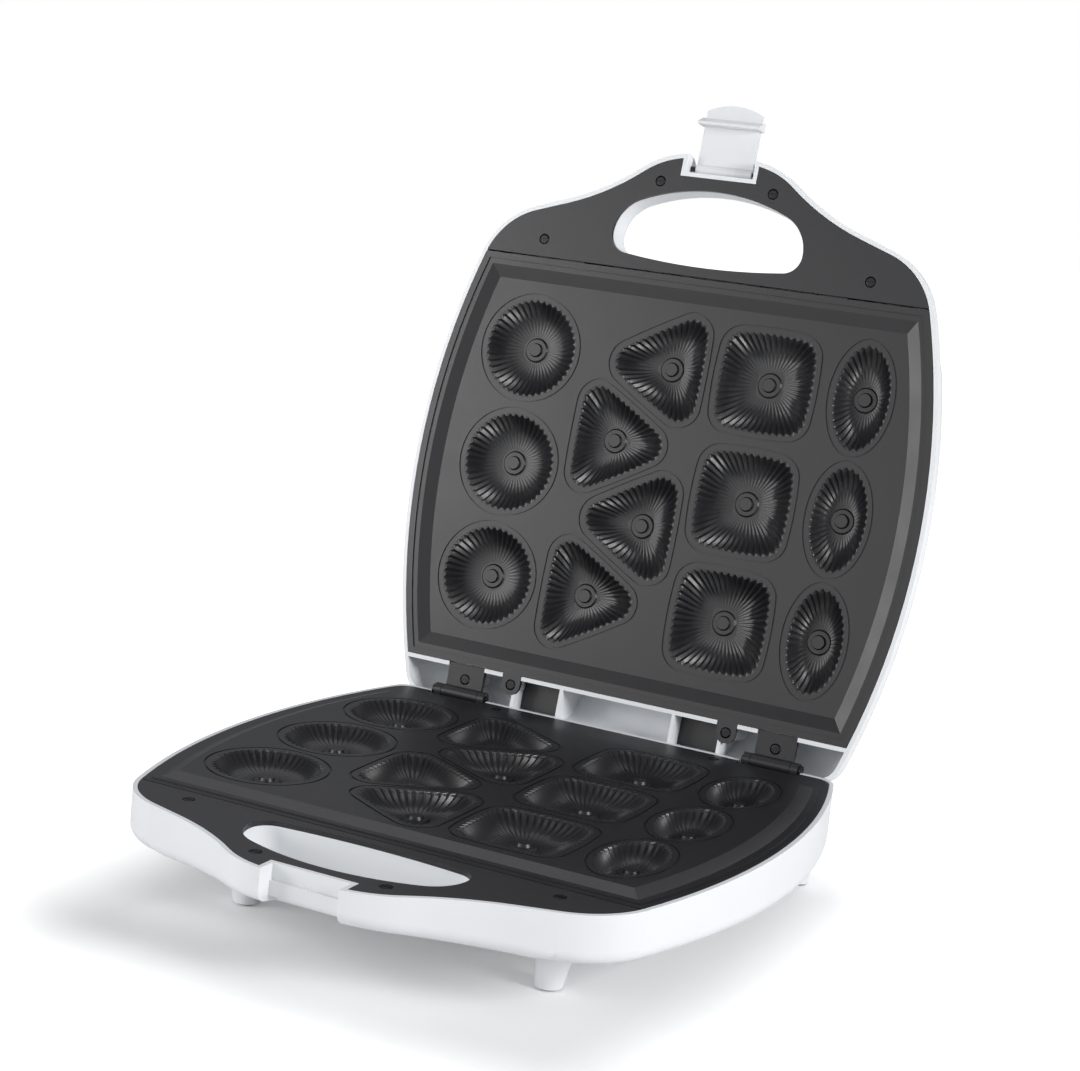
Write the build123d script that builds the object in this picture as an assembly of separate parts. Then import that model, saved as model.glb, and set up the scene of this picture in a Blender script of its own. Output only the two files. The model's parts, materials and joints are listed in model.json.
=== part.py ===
from build123d import *
from math import cos, sin, sqrt, radians
import os

# An electric cookie maker: two hinged halves with shaped baking cups.
# Lengths are millimetres. X runs along the hinge, the handle side is -Y, +Z is up.
# Pieces are drawn about the hinge line. The lid is drawn closed and then swung open.

# Layout of the two halves
hinge_height = 60.5
parting_gap = 1.0
lid_open_angle = 102.4
overrun = 2.0
shell_wall = 2.5
edge_gap = 0.3
seat_gap = 0.1
running_gap = 0.05

# Outline of the dark panels, seen from above
half_width = 160.8
widest_y = -142.3
side_radius = 427.0
front_y = -341.2
bow_share = 0.8085
bow_radius = half_width * bow_share
bow_turn = 12.0
shoulder_share = 0.311
shoulder_radius = half_width * shoulder_share
shoulder_turn = 26.0
sweep_share = 0.964
sweep_radius = half_width * sweep_share
sweep_turn = 19.5
corner_radius = 45.0
seam_y = -269.5
seam_gap = 1.0

# Handle opening
hole_half_width = 60.6
hole_rear_y = -276.0
hole_front_y = -321.0
hole_rear_radius = 420.0
hole_front_radius = 118.0
hole_rear_corner_radius = 11.0
hole_front_corner_radius = 23.0

# Lower housing
base_rear_y = -1.0
base_rear_depth = 35.0
base_front_depth = 25.0
base_slope_front_y = -300.0
grip_depth = 17.0
base_edge_radius = 7.0
rear_corner_radius = 12.0

# Upper housing
lid_rear_y = 4.5
lid_height = 33.0
lid_edge_radius = 27.0
lid_rear_radius = 14.0
lid_dome_front_y = -271.0
lid_grip_height = 19.0
lid_grip_edge_radius = 14.0
lid_grip_start_y = -236.0
cross_wall_y = -15.7
inner_rib_share = 0.227
rib_inner_x = half_width * inner_rib_share
outer_rib_share = 0.4167
rib_outer_x = half_width * outer_rib_share
rib_wall = 2.0
pocket_cover_depth = 11.0
pocket_cover_thickness = 1.5
pocket_cover_gap = 0.4

# Front panels
panel_thickness = 2.5
panel_screw_inner_x = 35.9
panel_screw_inner_y = -323.8
outer_screw_share = 0.6486
panel_screw_outer_x = half_width * outer_screw_share
panel_screw_outer_y = -280.5

# Baking plates
plate_thickness = 2.5
plate_rise = 3.3
plate_step_inset = 4.0
plate_step_rise = 0.8
plate_slope_inset = 8.0
plate_land_inset = 15.5
nest_gap = 1.0
lid_plate_rear_y = -18.5
base_plate_rear_y = -4.3
lug_share = 0.4353
lug_x = half_width * lug_share
lug_y = -12.0
lug_radius = 6.0
tongue_share = 0.5224
tongue_x = half_width * tongue_share
tongue_width = 16.0
tongue_reach = 7.0
tongue_thickness = 2.0

# Cups in the plates
cup_centre_y = -143.8
round_column_share = -0.6269
round_x = half_width * round_column_share
round_radius = 33.0
round_pitch = 70.1
triangle_column_share = -0.1486
triangle_x = half_width * triangle_column_share
triangle_shift = 13.8
triangle_side = 84.7
triangle_bulge = 1.6
triangle_corner_radius = 13.7
triangle_pitch = 47.3
square_column_share = 0.324
square_x = half_width * square_column_share
square_half_side = 32.7
square_bulge = 2.2
square_corner_radius = 14.0
square_pitch = 70.5
oval_column_share = 0.6909
oval_x = half_width * oval_column_share
oval_half_width = 20.0
oval_half_length = 34.0
oval_pitch = 70.5
cup_depth = 8.5
cup_wall = 2.0
cup_ring_width = 1.2
cup_ring_depth = 0.6
cup_lip = 3.2
cup_bend_share = 0.84
cup_bend_depth = 5.2
cup_floor_share = 0.5
flute_pitch = 4.4
flute_share = 0.065
points_per_step = 12
cup_boss_radius = 7.6
cup_boss_rise = 1.0
cup_nub_radius = 4.4
cup_nub_rise = 1.5

# Heaters, reflectors and their studs
element_radius = 3.3
element_share = 0.6841
element_half_width = half_width * element_share
element_front_y = -236.0
element_rear_y = -46.0
element_end_x = 35.0
element_end_y = -19.5
element_bend_radius = 24.0
sheet_thickness = 0.8
reflector_inset = 22.0
reflector_rear_y = -29.5
reflector_rim = 4.0
stud_radius = 3.0
left_stud_share = -0.4229
stud_left_x = half_width * left_stud_share
right_stud_share = 0.5535
stud_right_x = half_width * right_stud_share
stud_front_y = -249.0
rear_stud_share = 0.7711
stud_rear_x = half_width * rear_stud_share
stud_rear_y = -34.0
thermostat_radius = 8.0
thermostat_height = 10.0
thermostat_flange_radius = 10.0
thermostat_flange_height = 1.5
fuse_radius = 2.2
fuse_length = 14.0
fuse_x = -62.0
fuse_y = -108.0

# Screws
screw_radius = 1.6
screw_head_radius = 3.0
screw_head_height = 1.6
screw_length = 9.0
screw_slot = 0.8
pilot_depth = 8.0
boss_radius = 4.5

# Hinges
hinge_share = 0.6281
hinge_x = half_width * hinge_share
hinge_pin_radius = 2.0
barrel_radius = 4.2
barrel_length = 24.0
ear_thickness = 4.5
ear_gap = 0.3
pin_overhang = 1.2
pin_head_radius = 3.1
pin_head_length = 1.6
bracket_depth = 11.0
bracket_thickness = 3.0
bracket_front_y = -24.0
bracket_screw_y = -17.0
arm_lift = 1.5
arm_thickness = 3.0
arm_reach = 17.9
arm_screw_y = -9.0
hinge_window_gap = 1.8
lid_window_height = 8.0

# Latch on the lid and its keeper in the base
notch_half_width = 21.5
notch_back_y = -331.0
pivot_y = -334.6
pivot_z = 9.0
latch_pin_radius = 1.5
latch_barrel_radius = 3.2
latch_half_width = 17.6
latch_plate_thickness = 2.6
latch_reach = 39.5
latch_tab_radius = 40.0
hook_start = 26.0
hook_length = 5.0
hook_drop = 9.5
hook_half_width = 19.6
keeper_drop = 8.5
keeper_y = -332.9
hook_gap = 0.8
hook_flat_share = 0.33

# Feet
front_foot_share = 0.5442
front_foot_x = half_width * front_foot_share
front_foot_y = -245.8
front_foot_top_x = 13.0
front_foot_top_y = 10.5
front_foot_lean = 3.0
rear_foot_share = 0.7991
rear_foot_x = half_width * rear_foot_share
rear_foot_y = -12.5
rear_foot_top_x = 8.0
rear_foot_top_y = 9.0
foot_bottom_radius = 7.0
rear_foot_bottom_radius = 6.0
pad_radius = 5.2
pad_height = 2.0
pad_recess = 1.0

# Supply side and indicator lamps
gland_share = 0.3234
gland_x = half_width * gland_share
gland_z = -19.0
gland_radius = 7.0
gland_flange_radius = 9.5
gland_flange_thickness = 2.0
gland_length = 12.0
cord_bore_radius = 3.6
clamp_y = -19.0
clamp_half_width = 11.5
clamp_screw_x = 8.6
clamp_depth = 7.0
clamp_thickness = 2.0
block_x = 0.0
block_y = -13.0
block_length = 30.0
block_depth = 12.0
block_height = 11.0
block_hole_radius = 1.6
block_hole_pitch = 4.0
lead_radius = 1.2
lead_bend_radius = 3.0
lamp_x = 14.0
lamp_y = -236.0
lens_radius = 4.0
lens_flange_radius = 5.5
lens_flange_height = 1.5
lens_rise = 1.6
lens_round_share = 0.9
neon_radius = 2.6
neon_length = 8.0

# Sizes that follow
base_z = -parting_gap / 2
lid_z = parting_gap / 2
land_z = base_z + plate_rise
lid_recess = plate_rise + nest_gap - parting_gap
far = half_width + side_radius


def outline(grow, rear_y):
    """Face of the dark outline, grown by an amount and cut at a rear edge."""
    turn_in = JernArc((0, front_y - grow), (1, 0), bow_radius + grow, bow_turn)
    shoulder = JernArc(turn_in @ 1, turn_in % 1, shoulder_radius + grow, shoulder_turn)
    sweep_in = JernArc(shoulder @ 1, shoulder % 1, sweep_radius - grow, -sweep_turn)
    end = sweep_in @ 1
    way = sweep_in % 1
    run = half_width
    tip = (end.X + way.X * run, end.Y + way.Y * run)
    right = turn_in + shoulder + sweep_in + Line(end, tip)
    left = mirror(right, about=Plane.YZ)
    top = Polyline(tip, (tip[0], rear_y), (-tip[0], rear_y), (-tip[0], tip[1]))
    front_shape = make_face(right + left + top)
    shape = front_shape & lens_face(grow)
    front = shape.vertices().filter_by(lambda v: v.Y < widest_y)
    corners = front.sort_by(lambda v: -abs(v.X))[:2]
    return fillet(corners, corner_radius + grow)


def lens_face(grow):
    """The two bowed sides as one face between their circles."""
    radius = side_radius + grow
    centre_x = half_width - side_radius
    return Pos(centre_x, widest_y) * Circle(radius) & Pos(-centre_x, widest_y) * Circle(radius)


def band(low_y, high_y):
    """A wide rectangle between two values of y."""
    return Pos(0, (low_y + high_y) / 2) * Rectangle(far, high_y - low_y)


def hole_face(grow):
    """Face of the handle opening, grown by an amount."""
    half = hole_half_width + grow
    rear_radius = hole_rear_radius - grow
    front_radius = hole_front_radius + grow
    rear_drop = rear_radius - sqrt(rear_radius ** 2 - half ** 2)
    front_drop = front_radius - sqrt(front_radius ** 2 - half ** 2)
    rear_y = hole_rear_y + grow
    near_y = hole_front_y - grow
    rear = ThreePointArc((-half, rear_y - rear_drop), (0, rear_y), (half, rear_y - rear_drop))
    front = ThreePointArc((half, near_y + front_drop), (0, near_y), (-half, near_y + front_drop))
    face = make_face(rear + Line(rear @ 1, front @ 0) + front + Line(front @ 1, rear @ 0))
    face = fillet(face.vertices().sort_by(Axis.Y)[:2], hole_front_corner_radius + grow)
    return fillet(face.vertices().sort_by(Axis.Y)[-2:], hole_rear_corner_radius + grow)


def block(low, high):
    """A box between two corners."""
    size = [high[i] - low[i] for i in range(3)]
    middle = [(high[i] + low[i]) / 2 for i in range(3)]
    return Pos(*middle) * Box(*size)


def rod(x, y, low_z, high_z, radius):
    """An upright cylinder."""
    return Pos(x, y, (low_z + high_z) / 2) * Cylinder(radius, high_z - low_z)


def cross_rod(x_low, x_high, y, z, radius):
    """A cylinder along X."""
    return Pos((x_low + x_high) / 2, y, z) * Rot(0, 90, 0) * Cylinder(radius, x_high - x_low)


def slab(face, low_z, high_z):
    """A face made a slab between two heights."""
    return Pos(0, 0, low_z) * extrude(face, high_z - low_z)


def both_sides(shape):
    return shape + mirror(shape, about=Plane.YZ)


def screw(x, y, seat_z, up, length):
    """A pan-head screw whose head sits on seat_z and whose point goes the other way."""
    sign = 1 if up else -1
    head_end = seat_z + sign * screw_head_height
    tip = seat_z - sign * length
    head = rod(x, y, min(seat_z, head_end), max(seat_z, head_end), screw_head_radius)
    head = fillet(head.edges().sort_by(Axis.Z)[-1 if up else 0], screw_head_height / 2)
    shank = rod(x, y, min(seat_z, tip), max(seat_z, tip), screw_radius)
    arm = screw_head_radius + overrun
    slot_floor = head_end - sign * screw_slot
    low = min(head_end, slot_floor)
    high = max(head_end, slot_floor)
    slot = block((x - arm, y - screw_slot / 2, low), (x + arm, y + screw_slot / 2, high))
    return head - slot + shank


# Cups
def round_shape(grow, share):
    return Circle((round_radius + grow) * share)


def oval_shape(grow, share):
    return Ellipse((oval_half_width + grow) * share, (oval_half_length + grow) * share)


def square_shape(grow, share):
    half = (square_half_side + grow) * share
    bulge = square_bulge * share
    reach = half - bulge
    sides = []
    corners = [(-reach, -reach), (reach, -reach), (reach, reach), (-reach, reach)]
    middles = [(0, -half), (half, 0), (0, half), (-half, 0)]
    for i in range(4):
        sides.append(ThreePointArc(corners[i], middles[i], corners[(i + 1) % 4]))
    face = make_face(Curve() + sides)
    return fillet(face.vertices(), (square_corner_radius + grow) * share)


def triangle_shape(grow, share):
    reach = (triangle_side / sqrt(3) + 2 * grow) * share
    middle = reach / 2 + triangle_bulge * share
    sides = []
    for a in (0, 120, 240):
        start, through, end = radians(a), radians(a + 60), radians(a + 120)
        sides.append(ThreePointArc(
            (reach * cos(start), reach * sin(start)), (middle * cos(through), middle * sin(through)),
            (reach * cos(end), reach * sin(end))))
    face = make_face(Curve() + sides)
    return fillet(face.vertices(), (triangle_corner_radius + grow) * share)


def cup_places():
    """Every cup as its shape, its centre and its turn about Z."""
    places = []
    for k in (-1, 0, 1):
        places.append((round_shape, round_x, cup_centre_y + k * round_pitch, 0))
        places.append((square_shape, square_x, cup_centre_y + k * square_pitch, 0))
        places.append((oval_shape, oval_x, cup_centre_y + k * oval_pitch, 0))
    for k in range(4):
        y = cup_centre_y + (k - 1.5) * triangle_pitch
        shift = triangle_shift if k % 2 == 0 else -triangle_shift
        places.append((triangle_shape, triangle_x + shift, y, 180 if k % 2 == 0 else 0))
    return places


def cup_shell(shape):
    """A cup's outer form under the land: its mouth at z = 0, bowed in to its floor."""
    grow = cup_wall - cup_lip
    mouth = shape(grow, 1)
    bend = Pos(0, 0, -cup_bend_depth - cup_wall) * shape(grow, cup_bend_share)
    floor = Pos(0, 0, -cup_depth - cup_wall) * shape(grow, cup_floor_share)
    return loft([mouth.face(), bend.face(), floor.face()], ruled=True)


def flute_points(shape):
    """Points round a cup's mouth, half a flute apart, from the one on the X axis."""
    rim = shape(-cup_lip, 1).face().outer_wire()
    steps = 2 * round(rim.length / flute_pitch)
    count = steps * points_per_step
    lengths = [rim.length * i / count for i in range(count)]
    places = [rim.position_at(d, position_mode=PositionMode.LENGTH) for d in lengths]
    first = min(range(count), key=lambda i: abs(places[i].Y) if places[i].X > 0 else far)
    return [places[(first + i * points_per_step) % count] for i in range(steps)]


def cup_space(shape):
    """A cup's fluted space, with grooves on the rim's line and ridges drawn in from it."""
    rim = flute_points(shape)
    rim = [p * (1 - flute_share * (i % 2)) for i, p in enumerate(rim)]
    levels = [(1, overrun), (1, 0), (cup_bend_share, -cup_bend_depth), (cup_floor_share, -cup_depth)]
    rings = [[(p.X * share, p.Y * share, z) for p in rim] for share, z in levels]
    faces = [Face(Wire.make_polygon(ring)) for ring in (rings[0], rings[-1])]
    for upper, lower in zip(rings, rings[1:]):
        for i in range(len(rim)):
            corners = [upper[i - 1], upper[i], lower[i], lower[i - 1]]
            faces.append(Face(Wire.make_polygon(corners)))
    return Solid(Shell(faces))


def cup_boss():
    """A low disc with a nub on it, standing on z = 0."""
    disc = Cone(cup_boss_radius, cup_boss_radius - cup_boss_rise, cup_boss_rise)
    nub = Cone(cup_nub_radius, cup_nub_radius - cup_nub_rise / 2, cup_nub_rise)
    return Pos(0, 0, cup_boss_rise / 2) * disc + Pos(0, 0, cup_boss_rise + cup_nub_rise / 2) * nub


def add_cups(plate):
    """Cups sunk into a plate whose land is at z = 0."""
    forms = {shape: (cup_shell(shape), cup_space(shape)) for shape, _, _, _ in cup_places()}
    shells = []
    spaces = []
    rings = []
    for shape, x, y, turn in cup_places():
        place = Pos(x, y, 0) * Rot(0, 0, turn)
        shell, space = forms[shape]
        shells.append(place * shell)
        ring = shape(cup_ring_width / 2, 1) - shape(-cup_ring_width / 2, 1)
        rings.append(Pos(0, 0, -cup_ring_depth) * place * extrude(ring, cup_ring_depth + overrun))
        spaces.append(place * space)
    plate = plate + shells
    plate = plate - spaces - rings
    bosses = [Pos(x, y, -cup_depth) * cup_boss() for _, x, y, _ in cup_places()]
    return plate + bosses


def plate_face(inset, rear_y):
    """The part of the outline that a plate fills, drawn in from its sides and front."""
    front = seam_y + seam_gap / 2 + inset
    shape = outline(-edge_gap - inset, lid_rear_y)
    return shape & band(front, rear_y)


def raised_land(low_inset, high_inset, low_z, high_z):
    """A block with sloping sides between two insets."""
    low = Pos(0, 0, low_z) * plate_face(low_inset, lid_plate_rear_y - low_inset)
    high = Pos(0, 0, high_z) * plate_face(high_inset, lid_plate_rear_y - high_inset)
    return loft([low.face(), high.face()], ruled=True)


def stud_places():
    front = [(stud_left_x, stud_front_y), (stud_right_x, stud_front_y)]
    return front + [(s * stud_rear_x, stud_rear_y) for s in (-1, 1)]


def fix_plate(plate, back_z, sheet_z, flange_back_z):
    """Lug holes, front tongues and studs. Everything is on the back of the plate, at lower z."""
    for s in (-1, 1):
        low = (s * tongue_x - tongue_width / 2, seam_y - tongue_reach, flange_back_z - tongue_thickness)
        high = (s * tongue_x + tongue_width / 2, seam_y + plate_step_inset, flange_back_z)
        plate = plate + block(low, high)
        face_z = flange_back_z + plate_thickness
        top = face_z + overrun
        plate = plate - rod(s * lug_x, lug_y, flange_back_z - overrun, top, screw_radius + seat_gap)
        plate = plate - rod(s * lug_x, lug_y, face_z - screw_head_height, top, screw_head_radius + edge_gap)
    for x, y in stud_places():
        stud = rod(x, y, sheet_z, back_z, stud_radius)
        plate = plate + stud - rod(x, y, sheet_z - overrun, sheet_z + pilot_depth, screw_radius + running_gap)
    return plate


def make_lower_plate():
    flange = slab(plate_face(0, base_plate_rear_y), -plate_rise - plate_thickness, -plate_rise)
    rear_corners = flange.edges().filter_by(Axis.Z).filter_by(lambda e: e.center().Y > lid_plate_rear_y)
    flange = fillet(rear_corners, rear_corner_radius)
    for s in (-1, 1):
        half = barrel_length / 2 + ear_gap + ear_thickness + hinge_window_gap
        low = (s * hinge_x - half, bracket_back_y(), -plate_rise - plate_thickness - overrun)
        high = (s * hinge_x + half, lid_rear_y, overrun)
        flange = flange - block(low, high)
    step_z = plate_step_rise - plate_rise
    step = slab(plate_face(plate_step_inset, lid_plate_rear_y - plate_step_inset), -plate_rise, step_z)
    land = raised_land(plate_slope_inset, plate_land_inset, step_z, 0)
    hollow_face = plate_face(plate_land_inset, lid_plate_rear_y - plate_land_inset)
    hollow = slab(hollow_face, -plate_rise - plate_thickness - overrun, -plate_thickness)
    plate = flange + step + land - hollow
    plate = add_cups(plate)
    return fix_plate(plate, -plate_thickness, sheet_level(), -plate_rise - plate_thickness)


def make_upper_plate():
    """The upper plate, drawn with its land at z = 0 and its back below, as the lower one is."""
    face_z = lid_recess
    flange = slab(plate_face(0, lid_plate_rear_y), face_z - plate_thickness, face_z)
    tray = slab(plate_face(plate_step_inset, lid_plate_rear_y - plate_step_inset), -plate_thickness, face_z)
    step_inset = plate_step_inset - edge_gap
    step_z = face_z - plate_step_rise
    step = slab(plate_face(step_inset, lid_plate_rear_y - step_inset), step_z, face_z + overrun)
    low_inset = plate_land_inset - nest_gap
    high_inset = plate_slope_inset - nest_gap
    recess = raised_land(low_inset, high_inset, 0, step_z)
    plate = flange + tray - step - recess
    for s in (-1, 1):
        lug = slab(Pos(s * lug_x, lug_y) * Circle(lug_radius), face_z - plate_thickness, face_z)
        low = (s * lug_x - lug_radius, lid_plate_rear_y - plate_step_inset / 2, face_z - plate_thickness)
        plate = plate + lug + block(low, (s * lug_x + lug_radius, lug_y, face_z))
    plate = add_cups(plate)
    return fix_plate(plate, -plate_thickness, sheet_level(), face_z - plate_thickness)


def sheet_level():
    """Top of the reflector under a land at z = 0."""
    return -cup_depth - cup_wall - 2 * element_radius - 2 * seat_gap


def bracket_back_y():
    return -barrel_radius - ear_thickness


def make_element():
    z = -cup_depth - cup_wall - seat_gap - element_radius
    route = [
        (element_end_x, element_end_y, z),
        (element_end_x, element_rear_y, z),
        (element_half_width, element_rear_y, z),
        (element_half_width, element_front_y, z),
        (-element_half_width, element_front_y, z),
        (-element_half_width, element_rear_y, z),
        (-element_end_x, element_rear_y, z),
        (-element_end_x, element_end_y, z),
    ]
    path = FilletPolyline(*route, radius=element_bend_radius)
    start = Plane(origin=path @ 0, z_dir=path % 0)
    return sweep(start * Circle(element_radius), path=path)


def make_reflector():
    """A pressed tray under the heater, held by the plate's studs."""
    top = sheet_level()
    outer_face = plate_face(reflector_inset, reflector_rear_y)
    inner_inset = reflector_inset + sheet_thickness
    inner_face = plate_face(inner_inset, reflector_rear_y - sheet_thickness)
    tray = slab(outer_face, top - sheet_thickness, top + reflector_rim)
    tray = tray - slab(inner_face, top, top + reflector_rim + overrun)
    for x, y in stud_places():
        tray = tray + rod(x, y, top - sheet_thickness, top, 2 * stud_radius)
    for x, y in stud_places():
        tray = tray - rod(x, y, top, top + reflector_rim + overrun, stud_radius + edge_gap)
        tray = tray - rod(x, y, top - sheet_thickness - overrun, top + overrun, screw_radius + seat_gap)
    for s in (-1, 1):
        reach = 2 * element_radius + edge_gap
        low = (s * element_end_x - reach, element_rear_y, top)
        tray = tray - block(low, (s * element_end_x + reach, lid_rear_y, top + reflector_rim + overrun))
    window_radius = thermostat_flange_radius + edge_gap
    return tray - rod(square_x, cup_centre_y, top - sheet_thickness - overrun, top + overrun, window_radius)


def make_reflector_screws():
    seat = sheet_level() - sheet_thickness
    return [screw(x, y, seat, False, pilot_depth) for x, y in stud_places()]


def make_thermostat():
    top = -cup_depth - cup_wall - seat_gap
    flange_low = top - thermostat_flange_height
    body = rod(square_x, cup_centre_y, flange_low, top, thermostat_flange_radius)
    body = body + rod(square_x, cup_centre_y, top - thermostat_height, flange_low, thermostat_radius)
    tab_x = thermostat_radius / 2
    for s in (-1, 1):
        x = square_x + s * tab_x
        can_low = top - thermostat_height
        low = (x - sheet_thickness / 2, cup_centre_y - stud_radius, can_low - 2 * stud_radius)
        high = (x + sheet_thickness / 2, cup_centre_y + stud_radius, can_low)
        body = body + block(low, high)
    return body


def make_fuse():
    z = sheet_level() - sheet_thickness - seat_gap - fuse_radius
    return cross_rod(fuse_x - fuse_length / 2, fuse_x + fuse_length / 2, fuse_y, z, fuse_radius)


# Front panels
def panel_screw_places():
    inner = (panel_screw_inner_x, panel_screw_inner_y)
    outer = (panel_screw_outer_x, panel_screw_outer_y)
    return [(s * x, y) for s in (-1, 1) for x, y in (inner, outer)]


def make_panel():
    """A front panel with its visible face at z = 0 and its back below."""
    face = outline(-edge_gap, lid_rear_y) & band(front_y - overrun, seam_y - seam_gap / 2)
    face = face - hole_face(edge_gap)
    notch_x = notch_half_width + shell_wall + edge_gap
    notch_y = notch_back_y + shell_wall + edge_gap
    face = face - Pos(0, notch_y - half_width / 2) * Rectangle(2 * notch_x, half_width)
    panel = slab(face, -panel_thickness, 0)
    for x, y in panel_screw_places():
        panel = panel - rod(x, y, -panel_thickness - overrun, overrun, screw_radius + seat_gap)
        panel = panel - rod(x, y, -screw_head_height, overrun, screw_head_radius + edge_gap)
    return panel


def make_panel_screws():
    return [screw(x, y, -screw_head_height, True, screw_length) for x, y in panel_screw_places()]


def make_plate_screws(flange_z):
    seat_z = flange_z - screw_head_height
    return [screw(s * lug_x, lug_y, seat_z, True, screw_length) for s in (-1, 1)]


# Housings
def underside_blank(grow, near, far_end):
    """The grown outline cut under by one plane, given by two (y, z) points, with a round edge."""
    rear_y = base_rear_y - shell_wall + grow
    rise = (far_end[1] - near[1]) / (far_end[0] - near[0])
    tip_y = front_y - 2 * shell_wall
    profile = Polyline(
        (lid_rear_y, base_z),
        (lid_rear_y, near[1] + rise * (lid_rear_y - near[0])),
        (tip_y, near[1] + rise * (tip_y - near[0])),
        (tip_y, base_z),
        close=True,
    )
    wedge = extrude(Plane.YZ * make_face(profile), far, both=True)
    blank = slab(outline(grow, rear_y), base_z - half_width, base_z) & wedge
    uprights = blank.edges().filter_by(Axis.Z).filter_by(lambda e: e.center().Y > rear_y - overrun)
    blank = fillet(uprights, rear_corner_radius - shell_wall + grow)
    under = [e for e in blank.edges() if e.bounding_box().max.Z < base_z - running_gap and not is_upright(e)]
    return fillet(under, base_edge_radius - shell_wall + grow)


def is_upright(edge):
    size = edge.bounding_box().size
    return size.Z > size.X + size.Y


def base_blank(grow, drop):
    """The lower housing as a full block: a sloping floor and a grip that rises to the front."""
    rear = (base_rear_y, base_z - base_rear_depth + drop)
    crease = (base_slope_front_y, base_z - base_front_depth + drop)
    tip = (front_y, base_z - grip_depth + drop)
    body = underside_blank(grow, rear, crease)
    grip = underside_blank(grow, crease, tip)
    low = base_z - base_rear_depth - half_width
    split = block((-far, base_slope_front_y, low), (far, far, base_z + overrun))
    return (body & split) + (grip - split)


def tapered_foot(x, y, top_z, half_x, half_y, bottom_radius, lean):
    bottom_z = pad_height - pad_recess - hinge_height
    top = Pos(x + lean, y, top_z) * Ellipse(half_x, half_y)
    bottom = Pos(x, y, bottom_z) * Circle(bottom_radius)
    foot = loft([bottom.face(), top.face()], ruled=True)
    return foot - rod(x, y, bottom_z - overrun, bottom_z + pad_recess, pad_radius + running_gap)


def feet():
    shapes = []
    for s in (-1, 1):
        front_top = base_z - base_front_depth
        rear_top = base_z - base_rear_depth + shell_wall
        shapes.append(tapered_foot(
            s * front_foot_x, front_foot_y, front_top, front_foot_top_x, front_foot_top_y,
            foot_bottom_radius, s * front_foot_lean))
        shapes.append(tapered_foot(
            s * rear_foot_x, rear_foot_y, rear_top, rear_foot_top_x, rear_foot_top_y,
            rear_foot_bottom_radius, 0))
    return shapes


def make_foot_pads():
    bottom = -hinge_height
    corners = [(front_foot_x, front_foot_y), (rear_foot_x, rear_foot_y)]
    places = [(s * x, y) for s in (-1, 1) for x, y in corners]
    return [rod(x, y, bottom, bottom + pad_height, pad_radius) for x, y in places]


def hinge_window(low_z, high_z, low_y, high_y):
    """Boxes that clear the hinge ears, one each side."""
    half = barrel_length / 2 + ear_gap + ear_thickness + hinge_window_gap
    boxes = []
    for s in (-1, 1):
        boxes.append(block((s * hinge_x - half, low_y, low_z), (s * hinge_x + half, high_y, high_z)))
    return boxes


def make_lower_housing():
    outer = base_blank(shell_wall, 0)
    shell = outer - base_blank(0, shell_wall)
    low = base_z - base_rear_depth - overrun
    panel_back = base_z - panel_thickness
    flange_back = base_z - plate_thickness
    extras = [slab(hole_face(shell_wall), low, panel_back)]
    notch_x = notch_half_width + shell_wall
    tip_y = front_y - 2 * shell_wall
    extras.append(block((-notch_x, tip_y, low), (notch_x, notch_back_y + shell_wall, base_z)))
    extras.append(block((-notch_x, notch_back_y, low), (notch_x, hole_front_y, panel_back)))
    for x, y in panel_screw_places():
        extras.append(rod(x, y, low, panel_back, boss_radius))
    tongue_back = flange_back - tongue_thickness
    bracket_seat = base_z - bracket_depth - bracket_thickness
    for s in (-1, 1):
        extras.append(rod(s * lug_x, lug_y, low, flange_back, boss_radius))
        extras.append(rod(s * tongue_x, seam_y - boss_radius, low, tongue_back, boss_radius))
        for x in bracket_screw_xs(s):
            extras.append(rod(x, bracket_screw_y, low, bracket_seat, boss_radius))
    for x, y in clamp_screw_places():
        extras.append(rod(x, y, low, gland_z, boss_radius))
    extras.append(rod(block_x, block_y, low, block_floor(), boss_radius))
    core = base_blank(shell_wall / 2, shell_wall / 2)
    shell = shell + [extra & core for extra in extras]
    shell = shell - slab(hole_face(0), low - overrun, base_z + overrun)
    back_low = (-notch_half_width, front_y - half_width, base_z - keeper_drop)
    shell = shell - block(back_low, (notch_half_width, notch_back_y, base_z + overrun))
    front_low = (-notch_half_width, front_y - half_width, low - overrun)
    shell = shell - block(front_low, (notch_half_width, keeper_y, base_z))
    hook_room = (notch_half_width, pivot_y + hook_reach() + hook_gap, pivot_z - hook_start + hook_gap)
    shell = shell - block(front_low, hook_room)
    for x, y in panel_screw_places():
        floor = base_z - screw_head_height - screw_length - overrun
        shell = shell - rod(x, y, floor, base_z, screw_radius + running_gap)
    for s in (-1, 1):
        floor = base_z - screw_length - overrun
        shell = shell - rod(s * lug_x, lug_y, floor, base_z, screw_radius + running_gap)
        top = base_z - bracket_depth
        floor = top - screw_length - overrun
        for x in bracket_screw_xs(s):
            shell = shell - rod(x, bracket_screw_y, floor, top, screw_radius + running_gap)
    for x, y in clamp_screw_places():
        floor = clamp_top() - screw_length - seat_gap
        shell = shell - rod(x, y, floor, gland_z + overrun, screw_radius + running_gap)
    window_front = base_rear_y - shell_wall - overrun
    shell = shell - hinge_window(bracket_seat, base_z + overrun, window_front, lid_rear_y)
    gland_hole = Cylinder(gland_radius + seat_gap, 4 * shell_wall)
    shell = shell - Pos(gland_x, base_rear_y, gland_z) * Rot(90, 0, 0) * gland_hole
    return shell + feet()


def bracket_screw_xs(s):
    return [s * hinge_x - barrel_length / 2 + screw_radius, s * hinge_x + barrel_length / 2 - screw_radius]


def block_floor():
    return base_z - base_rear_depth + shell_wall + boss_radius


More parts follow.
